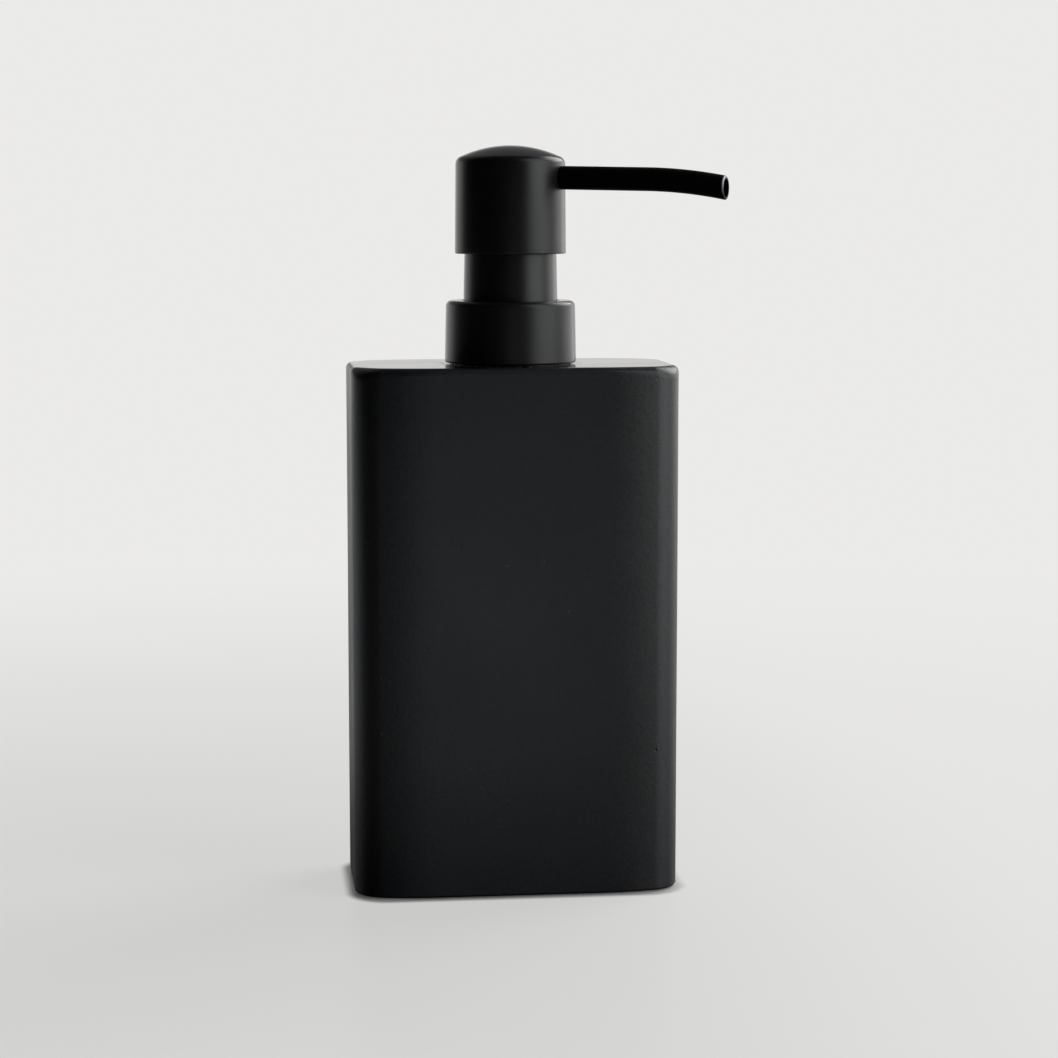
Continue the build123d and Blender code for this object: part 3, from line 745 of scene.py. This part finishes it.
def mix_colours(tree, share, first, second):
    """A Mix node's colour: first where share is 0, second where it is 1."""
    node = add_node(tree, "ShaderNodeMix", {"data_type": "RGBA"})
    for place, value in ((0, share), (6, first), (7, second)):
        feed(tree, node.inputs[place], value)
    return node.outputs[2]


def object_place(tree):
    """Object coordinates, which stay with the piece when it moves."""
    return tree.nodes.new("ShaderNodeTexCoord").outputs["Object"]


def noise(tree, place, scale, detail, **inputs):
    """A Noise texture's value at this place."""
    node = add_node(tree, "ShaderNodeTexNoise", Vector=place, Scale=scale, Detail=detail, **inputs)
    return node.outputs["Fac"]


def new_group(name, inputs, outputs):
    """An empty node group with these number inputs and outputs; also its entry and exit sockets."""
    group = bpy.data.node_groups.new(name, "ShaderNodeTree")
    for label, default in inputs.items():
        socket = group.interface.new_socket(label, in_out="INPUT", socket_type="NodeSocketFloat")
        socket.default_value = default
    for label in outputs:
        group.interface.new_socket(label, in_out="OUTPUT", socket_type="NodeSocketFloat")
    entry = group.nodes.new("NodeGroupInput").outputs
    leave = group.nodes.new("NodeGroupOutput").inputs
    print("node group", name)
    return group, entry, leave


# %% Grain
def make_grain():
    """Sandy grain: fine noise over a coarser mottle, both in Object coordinates, added by a share."""
    group, entry, leave = new_group("sandy_grain", {"Scale": 3000.0, "Mottle": 0.35}, ["Height"])
    place = object_place(group)
    fine = noise(group, place, entry["Scale"], 2.0)
    wide = noise(group, place, sums(group, "MULTIPLY", entry["Scale"], 0.27), 1.0)
    kept = sums(group, "SUBTRACT", 1.0, entry["Mottle"])
    mottle = sums(group, "MULTIPLY", wide, entry["Mottle"])
    total = sums(group, "ADD", sums(group, "MULTIPLY", fine, kept), mottle)
    group.links.new(total, leave["Height"])
    return group


grain_group = make_grain()

# %% Specks and pinholes
def make_specks():
    """Small round spots: near a Voronoi cell's point, in the few cells whose random colour passes."""
    inputs = {"Scale": 330.0, "Radius": 0.06, "Rarity": 0.85}
    group, entry, leave = new_group("small_spots", inputs, ["Mask"])
    place = object_place(group)
    cells = add_node(group, "ShaderNodeTexVoronoi", Vector=place, Scale=entry["Scale"])
    chance = add_node(group, "ShaderNodeSeparateColor", Color=cells.outputs["Color"]).outputs["Red"]
    chosen = sums(group, "GREATER_THAN", chance, entry["Rarity"])
    inner = sums(group, "MULTIPLY", entry["Radius"], 0.5)
    spot = ramp(group, cells.outputs["Distance"], inner, entry["Radius"], 1.0, 0.0)
    group.links.new(sums(group, "MULTIPLY", spot, chosen), leave["Mask"])
    return group


speck_group = make_specks()

# %% Handling
def make_handling():
    """Handling: broad cloudy patches, and fine short scuffs where a stretched noise peaks inside them."""
    inputs = {"Patch": 38.0, "Scuff": 900.0}
    group, entry, leave = new_group("handling", inputs, ["Patches", "Scuffs"])
    place = object_place(group)
    cloud = noise(group, place, entry["Patch"], 3.0)
    group.links.new(ramp(group, cloud, 0.35, 0.65), leave["Patches"])
    way = {"Rotation": (0.4, 0.9, 0.3), "Scale": (1.0, 1.0, 0.06)}
    tilt = add_node(group, "ShaderNodeMapping", Vector=place, **way).outputs[0]
    scratched = ramp(group, noise(group, tilt, entry["Scuff"], 1.0), 0.70, 0.78)
    where = ramp(group, cloud, 0.56, 0.68)
    group.links.new(sums(group, "MULTIPLY", scratched, where), leave["Scuffs"])
    return group


handling_group = make_handling()

# %% Rubbed edges
def make_edge_rub():
    """Rubbed edges: the mesh's own edge mask, broken up by noise so that only parts of an edge are worn."""
    group, entry, leave = new_group("rubbed_edges", {"Break": 420.0, "Spread": 0.5}, ["Mask"])
    place = object_place(group)
    edge = add_node(group, "ShaderNodeAttribute", {"attribute_name": "edge"}).outputs["Fac"]
    broken = noise(group, place, entry["Break"], 3.0)
    low = sums(group, "SUBTRACT", 0.95, entry["Spread"])
    worn = ramp(group, broken, low, sums(group, "ADD", low, 0.25))
    group.links.new(sums(group, "MULTIPLY", worn, edge), leave["Mask"])
    return group


rub_group = make_edge_rub()

# %% Marks on the bottle's top
def make_top_marks():
    """The bottle's top, by height: polished by wiping, with dust settled in a ring round the collar."""
    group, entry, leave = new_group("top_marks", {"Top": 0.1295}, ["Polish", "Dust"])
    place = object_place(group)
    x, y, z = add_node(group, "ShaderNodeSeparateXYZ", Vector=place).outputs
    below = sums(group, "SUBTRACT", entry["Top"], z)
    polish = ramp(group, below, 0.00002, 0.0003, 1.0, 0.0)
    away = sums(group, "SQRT", sums(group, "MULTIPLY_ADD", x, x, sums(group, "MULTIPLY", y, y)))
    past_collar = ramp(group, away, 0.0155, 0.0165)
    ring = sums(group, "MULTIPLY", past_collar, ramp(group, away, 0.0165, 0.021, 1.0, 0.0))
    fluff = noise(group, place, 1700.0, 2.0)
    settled = ramp(group, sums(group, "MULTIPLY_ADD", ring, 0.24, fluff), 0.78, 0.86)
    group.links.new(polish, leave["Polish"])
    group.links.new(sums(group, "MULTIPLY", settled, polish), leave["Dust"])
    return group


top_group = make_top_marks()

# %% A place for each material
def new_material(name):
    """A material with one Principled shader; returns the material, its tree and the shader's inputs."""
    material = bpy.data.materials.new(name)
    material.use_nodes = True
    tree = material.node_tree
    print("material", name)
    return material, tree, tree.nodes["Principled BSDF"].inputs


def use_group(tree, group, **inputs):
    """Places a node group in a material with these input values; returns its outputs."""
    return add_node(tree, "ShaderNodeGroup", {"node_tree": group}, **inputs).outputs


def add_bump(tree, shader, height, distance, strength=1.0):
    """Lets a height in units of this distance bend the shader's normal."""
    bump = add_node(tree, "ShaderNodeBump", Height=height, Strength=strength, Distance=distance)
    tree.links.new(bump.outputs["Normal"], shader["Normal"])


# %% [markdown]
# ## Black finishes
# The bottle is cast resin, sanded and left matte: nearly black, with a sandy grain, dust specks and a few
# pinholes. Its top is wiped more often than the rest, so it shines when seen along it, and dust stays in a
# ring round the collar. The pump is satin black and smoother, and the spout is painted a deeper black and
# is bare at its lip. All three are the same recipe, so one function builds them from a few values: colour,
# gloss, grain and wear.

# %% Black finish recipe
settled_dust = (0.36, 0.355, 0.34, 1.0)


def black_finish(name, colour, worn_colour, gloss, grain, specks, rub, specular, top=None):
    """A dark finish.

    gloss: roughness seen square on and at a grazing angle; grain: (scale, mottle, height in metres);
    specks: (radius, rarity, dust colour); rub: (break-up scale, spread, how metallic the worn places are);
    top: (height, roughness at a grazing angle) of a flat top that wiping has polished.
    """
    material, tree, shader = new_material(name)
    facing = add_node(tree, "ShaderNodeLayerWeight", Blend=0.5).outputs["Facing"]
    height = use_group(tree, grain_group, Scale=grain[0], Mottle=grain[1])["Height"]
    dust = use_group(tree, speck_group, Scale=330.0, Radius=specks[0], Rarity=specks[1])["Mask"]
    holes = use_group(tree, speck_group, Scale=210.0, Radius=0.06, Rarity=0.965)["Mask"]
    handled = use_group(tree, handling_group)
    worn = use_group(tree, rub_group, Break=rub[0], Spread=rub[1])["Mask"]
    grazing = gloss[1]
    if top:
        marks = use_group(tree, top_group, Top=top[0])
        grazing = sums(tree, "MULTIPLY_ADD", marks["Polish"], top[1] - gloss[1], gloss[1])
    smoothed = ramp(tree, facing, 0.45, 0.95, gloss[0], grazing)
    lighter = [1.6 * x for x in colour[:3]] + [1.0]
    tone = mix_colours(tree, ramp(tree, height, 0.35, 0.65), colour, lighter)
    tone = mix_colours(tree, sums(tree, "MULTIPLY", handled["Scuffs"], 0.16), tone, specks[2])
    tone = mix_colours(tree, worn, tone, worn_colour)
    tone = mix_colours(tree, dust, tone, specks[2])
    if top:
        dust = sums(tree, "MAXIMUM", dust, marks["Dust"])
        tone = mix_colours(tree, marks["Dust"], tone, settled_dust)
    patchy = sums(tree, "MULTIPLY_ADD", handled["Patches"], 0.05, smoothed)
    sandy = sums(tree, "MULTIPLY_ADD", height, 0.06, patchy)
    dusty = sums(tree, "MULTIPLY_ADD", dust, 0.35, sandy)
    rough = sums(tree, "MULTIPLY_ADD", worn, -0.05, dusty)
    feed_all(tree, shader, Base_Color=tone, Roughness=rough, Specular_IOR_Level=specular)
    relief = sums(tree, "SUBTRACT", height, sums(tree, "MULTIPLY", holes, 4.0))
    calm = ramp(tree, facing, 0.45, 0.95, 1.0, 0.025)
    add_bump(tree, shader, relief, grain[2], calm)
    if rub[2]:
        tree.links.new(sums(tree, "MULTIPLY", worn, rub[2]), shader["Metallic"])
    return material


# %% Bottle, pump and spout materials
dust_grey = (0.18, 0.175, 0.17, 1.0)
cast_resin = black_finish(
    "cast_resin_black", (0.0072, 0.0077, 0.0088, 1.0), (0.016, 0.016, 0.017, 1.0), gloss=(0.36, 0.3),
    grain=(3000.0, 0.5, 0.000055), specks=(0.055, 0.9, dust_grey), rub=(420.0, 0.35, 0.0), specular=0.72,
    top=(bottle_top * mm, 0.045),
)
pump_satin = black_finish(
    "pump_satin_black", (0.006, 0.006, 0.0063, 1.0), (0.03, 0.03, 0.03, 1.0), gloss=(0.28, 0.08),
    grain=(5200.0, 0.3, 0.000006), specks=(0.03, 0.94, dust_grey), rub=(520.0, 0.35, 0.0), specular=0.5,
)
spout_paint = black_finish(
    "spout_deep_black", (0.002, 0.002, 0.0021, 1.0), (0.5, 0.5, 0.5, 1.0), gloss=(0.5, 0.4),
    grain=(5200.0, 0.3, 0.000006), specks=(0.02, 0.96, dust_grey), rub=(700.0, 0.95, 1.0), specular=0.06,
)

# %% [markdown]
# ## Inner finishes
# What is inside shows only when the collar is turned up or the pump is taken apart: natural moulded
# plastic, soft seals, a translucent tube, bright wire and ball, and the foam pad. Moulded plastic has flow
# marks and a faint orange peel, wire has fine lines from drawing, and foam has cells, so each gets its own
# noise.

# %% Moulded plastic and seals
def moulded(name, colour, streak_colour, roughness, streak_scale, peel):
    """Moulded plastic or rubber: streaky flow marks along the height, and an orange peel this deep."""
    material, tree, shader = new_material(name)
    place = object_place(tree)
    drawn = add_node(tree, "ShaderNodeMapping", Vector=place, Scale=(1.0, 1.0, 0.25)).outputs[0]
    streaks = ramp(tree, noise(tree, drawn, streak_scale, 4.0, Distortion=0.6), 0.35, 0.7)
    tree.links.new(mix_colours(tree, streaks, colour, streak_colour), shader["Base Color"])
    tree.links.new(sums(tree, "MULTIPLY_ADD", streaks, 0.12, roughness), shader["Roughness"])
    skin = use_group(tree, grain_group, Scale=1500.0, Mottle=0.6)["Height"]
    add_bump(tree, shader, skin, peel)
    return material


inner_plastic = moulded(
    "inner_plastic_natural", (0.74, 0.74, 0.71, 1.0), (0.66, 0.66, 0.63, 1.0), 0.38, 260.0, 0.000012
)
neck_plastic = moulded(
    "neck_plastic_black", (0.014, 0.014, 0.015, 1.0), (0.022, 0.022, 0.022, 1.0), 0.42, 260.0, 0.000012
)
seal_rubber = moulded("seal_soft", (0.68, 0.68, 0.65, 1.0), (0.58, 0.58, 0.55, 1.0), 0.55, 400.0, 0.00002)

# %% Foam pad
def foam():
    """Closed-cell foam: Voronoi cells give pores, deeper in the middle of each cell and painted darker there
    as shade.
    """
    material, tree, shader = new_material("pad_foam")
    place = object_place(tree)
    cells = add_node(tree, "ShaderNodeTexVoronoi", Vector=place, Scale=1800.0).outputs["Distance"]
    pore_depth_and_shade = ramp(tree, cells, 0.05, 0.55)
    # Darker at each pore's middle: painted shade in the hollow, on top of the real bump.
    tone = mix_colours(tree, pore_depth_and_shade, (0.016, 0.016, 0.016, 1.0), (0.036, 0.036, 0.035, 1.0))
    feed_all(tree, shader, Base_Color=tone, Roughness=sums(tree, "MULTIPLY_ADD", pore_depth_and_shade, -0.12, 0.92))
    add_bump(tree, shader, pore_depth_and_shade, 0.00012)
    return material


pad_foam = foam()

# %% Tube and steel
def translucent_tube():
    """Extruded tube: cloudy and see-through, with fine lines along it from the die."""
    material, tree, shader = new_material("tube_translucent")
    place = object_place(tree)
    drawn = add_node(tree, "ShaderNodeMapping", Vector=place, Scale=(1.0, 1.0, 0.02)).outputs[0]
    lines = noise(tree, drawn, 2600.0, 2.0)
    tone = mix_colours(tree, lines, (0.86, 0.87, 0.87, 1.0), (0.78, 0.79, 0.79, 1.0))
    feed_all(tree, shader, Base_Color=tone, Roughness=sums(tree, "MULTIPLY_ADD", lines, 0.15, 0.20))
    add_bump(tree, shader, lines, 0.00001)
    feed_all(tree, shader, Transmission_Weight=0.6, IOR=1.5)
    return material


def bright_steel():
    """Drawn steel wire and a polished ball: metal with fine uneven drawing lines in its gloss."""
    material, tree, shader = new_material("steel_bright")
    lines = noise(tree, object_place(tree), 2200.0, 3.0)
    tone = mix_colours(tree, lines, (0.62, 0.61, 0.60, 1.0), (0.50, 0.50, 0.50, 1.0))
    rough = sums(tree, "MULTIPLY_ADD", lines, 0.22, 0.16)
    feed_all(tree, shader, Base_Color=tone, Roughness=rough, Metallic=1.0)
    add_bump(tree, shader, lines, 0.000004)
    return material


tube_clear = translucent_tube()
steel = bright_steel()

# %% [markdown]
# ## Floor and card finishes
# The floor is a pale surface with a faint satin gloss, enough to hold a soft dark shimmer under the bottle.
# Near the bottle it carries painted shade, and painted light towards the right. The card is black paper with
# two dim glowing patches low down, painted light, because a black bottle in front of nothing but black would
# lose its shape. A second weak lamp could do the same, but it would also light the floor.

# %% Stage materials
def vector_sums(tree, operation, *values):
    """A Vector Math node's outputs: the operation on these vectors or sockets."""
    node = add_node(tree, "ShaderNodeVectorMath", {"operation": operation})
    for socket, value in zip(node.inputs, values):
        feed(tree, socket, value)
    return node.outputs


def floor_finish():
    """A pale floor that keeps shadows near the bottle and fades to the horizon's own shade away from it.

    The fade is a plain glow of that shade, which only the camera, mirrors and glass see. It goes by the
    gap, the distance outside the bottle's rounded plan. Close to the bottle the camera sees a share of it,
    larger at the right as painted window light, and a painted contact shadow, a dark line at the foot. The
    bottle's own gloss sees no glow there, only a floor darkened by painted shade, which its foot mirrors.
    """
    material, tree, shader = new_material("floor_pale")
    place = object_place(tree)
    uneven = noise(tree, place, 9.0, 3.0)
    tree.links.new(sums(tree, "MULTIPLY_ADD", uneven, 0.08, 0.30), shader["Roughness"])
    straight = (bottle_width / 2 * mm - corner_radius * mm, bottle_depth / 2 * mm - corner_radius * mm, 1.0)
    beside = vector_sums(tree, "ABSOLUTE", place)["Vector"]
    beside = vector_sums(tree, "SUBTRACT", beside, straight)["Vector"]
    beside = vector_sums(tree, "MAXIMUM", beside)["Vector"]
    gap = sums(tree, "SUBTRACT", vector_sums(tree, "LENGTH", beside)["Value"], corner_radius * mm)
    path = tree.nodes.new("ShaderNodeLightPath").outputs
    # Painted shade: for all rays but the camera's, the floor is black near the bottle and 0.6 from 20 cm
    # away.
    painted_shade_tone = mix_colours(tree, ramp(tree, gap, 0.01, 0.2), (0.0, 0.0, 0.0, 1.0), (0.6, 0.6, 0.6, 1.0))
    tone = mix_colours(tree, path["Is Camera Ray"], painted_shade_tone, (0.88, 0.875, 0.865, 1.0))
    tree.links.new(tone, shader["Base Color"])
    seen = sums(tree, "ADD", path["Is Camera Ray"], path["Is Glossy Ray"])
    seen = sums(tree, "ADD", seen, path["Is Transmission Ray"], clamp=True)
    right = add_node(tree, "ShaderNodeSeparateXYZ", Vector=place).outputs["X"]
    # Painted window light: the camera's share of glow near the bottle grows from 0.66 to 0.85 towards the
    # right.
    near_glow_painted_light_right = sums(tree, "MULTIPLY", path["Is Camera Ray"], ramp(tree, right, 0.0, 0.15, 0.66, 0.85))
    far = sums(tree, "MULTIPLY_ADD", path["Is Camera Ray"], -1.6, 2.2)
    share = sums(tree, "MULTIPLY", ramp(tree, gap, 0.02, far, near_glow_painted_light_right, 1.0), seen)
    # Painted contact shadow: within 3 mm of the foot the glow fades to a tenth, for every ray.
    share = sums(tree, "MULTIPLY", share, ramp(tree, gap, 0.0, 0.003, 0.1, 1.0))
    glow = add_node(tree, "ShaderNodeEmission", Color=horizon_shade, Strength=1.0)
    both = add_node(tree, "ShaderNodeMixShader", Fac=share)
    tree.links.new(tree.nodes["Principled BSDF"].outputs[0], both.inputs[1])
    tree.links.new(glow.outputs[0], both.inputs[2])
    tree.links.new(both.outputs[0], tree.nodes["Material Output"].inputs["Surface"])
    return material


def card_finish():
    """Black paper for the card, with painted light: a dim glow low in the middle and one at the left end."""
    material, tree, shader = new_material("card_black")
    feed_all(tree, shader, Base_Color=(0.01, 0.01, 0.01, 1.0), Roughness=0.9, Specular_IOR_Level=0.0)
    place = object_place(tree)
    x, y, z = add_node(tree, "ShaderNodeSeparateXYZ", Vector=place).outputs
    turn = sums(tree, "ARCTAN2", x, sums(tree, "MULTIPLY", y, -1.0))
    # Painted light: dim glowing patches low on the card, for the bottle to mirror; the card is no lamp.
    low = ramp(tree, z, 0.05, 0.13, 1.0, 0.0)
    rising = ramp(tree, turn, -0.28, -0.05, 0.0, 0.8)
    middle = sums(tree, "MULTIPLY", rising, ramp(tree, turn, 0.12, 0.2, 1.0, 0.0))
    glow_patches = sums(tree, "ADD", middle, ramp(tree, turn, -2.2, -1.3, 0.8, 0.0))
    glow = sums(tree, "MULTIPLY", glow_patches, low)
    feed_all(tree, shader, Emission_Color=(0.94, 0.985, 1.06, 1.0), Emission_Strength=glow)
    return material


floor.data.materials.append(floor_finish())
black_card.data.materials.append(card_finish())

# %% [markdown]
# ## Dress the pieces
# Each row gives a new piece, its CAD body, the CAD node that it stands for, the record's slot and its
# material.
# The piece moves with its body and the CAD node is hidden; the spring gets a mesh of its own. The CAD nodes
# that stay keep their meshes and only get a better material.

# %% New pieces
dressed = [
    (bottle, "bottle", "bottle_shell", "cast_resin", cast_resin),
    (pad, "bottle", "base_pad", "pad", pad_foam),
    (collar, "collar", "collar_shell", "pump_black", pump_satin),
    (sleeve, "pump", "neck_sleeve", "pump_black", pump_satin),
    (head, "head", "head_shell", "pump_black", pump_satin),
    (spout, "head", "spout_tube", "spout_black", spout_paint),
    (spring, "pump", "return_spring", "steel", steel),
]
for piece, body, node, slot, material in dressed:
    piece.data.materials.append(material)
    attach(piece, body)
    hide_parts(node)
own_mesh(spring)

# %% CAD nodes that stay
kept_nodes = {
    cast_resin: ["base_plate"],
    neck_plastic: ["neck_insert"],
    inner_plastic: ["collar_nut", "housing", "stem_guide", "ball_cage", "stem", "valve_tip", "head_core"],
    seal_rubber: ["gasket", "piston"],
    tube_clear: ["dip_tube"],
    steel: ["inlet_ball"],
}
for material, names in kept_nodes.items():
    for name in names:
        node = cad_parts[name]
        node.data.materials.clear()
        node.data.materials.append(material)
print("finished", sum(len(names) for names in kept_nodes.values()), "CAD nodes")
